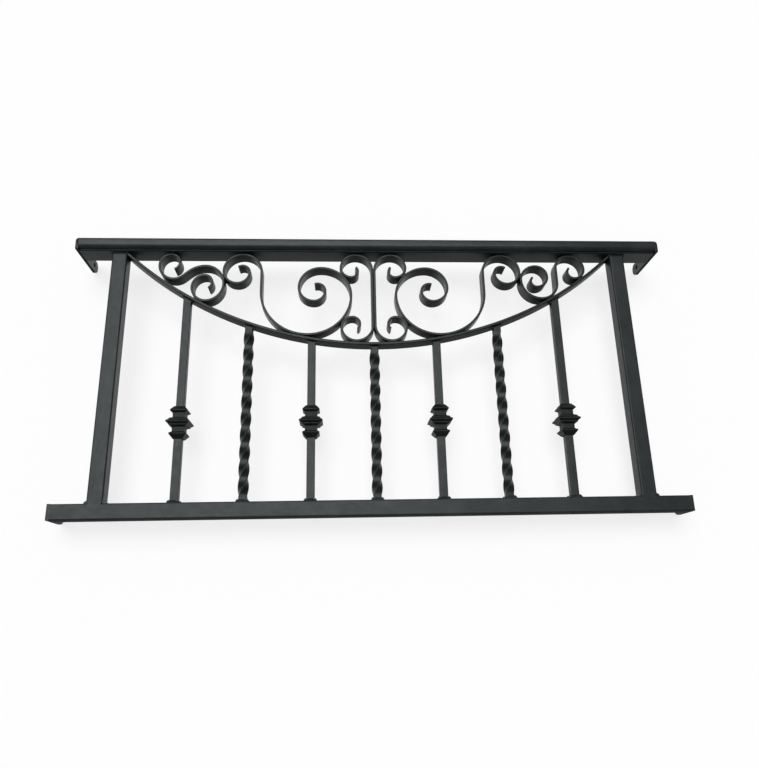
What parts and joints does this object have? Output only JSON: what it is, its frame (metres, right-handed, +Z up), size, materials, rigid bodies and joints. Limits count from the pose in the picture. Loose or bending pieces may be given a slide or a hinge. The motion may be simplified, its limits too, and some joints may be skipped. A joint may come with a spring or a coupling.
{
  "type": "iron balcony railing",
  "caption": "Black iron balcony railing panel with plain and twisted square bars, cast collars, scrolls under a moulded handrail and fixing lugs at its ends.",
  "frame": {"origin": "middle of the lower left end plate, on its wall face", "axes": "+X along the rail to the right, +Y from the street side to the wall side, +Z up"},
  "size_m": [1, 0.098, 0.471],
  "materials": {
    "black_paint": "satin"
  },
  "bodies": {
    "root": {"bottom_rail": "black_paint", "left_post": "black_paint", "right_post": "black_paint", "handrail_flat": "black_paint", "handrail_cap": "black_paint", "left_lower_lug": "black_paint", "right_lower_lug": "black_paint", "left_upper_lug": "black_paint", "right_upper_lug": "black_paint", "belly_bar": "black_paint", "plain_bar_1": "black_paint", "plain_bar_2": "black_paint", "plain_bar_3": "black_paint", "plain_bar_4": "black_paint", "twisted_bar_1": "black_paint", "twisted_bar_2": "black_paint", "twisted_bar_3": "black_paint", "collar_1": "black_paint", "collar_2": "black_paint", "collar_3": "black_paint", "collar_4": "black_paint", "left_c_scroll": "black_paint", "right_c_scroll": "black_paint", "left_large_scroll": "black_paint", "right_large_scroll": "black_paint", "left_small_scroll": "black_paint", "right_small_scroll": "black_paint"}
  },
  "joints": []
}
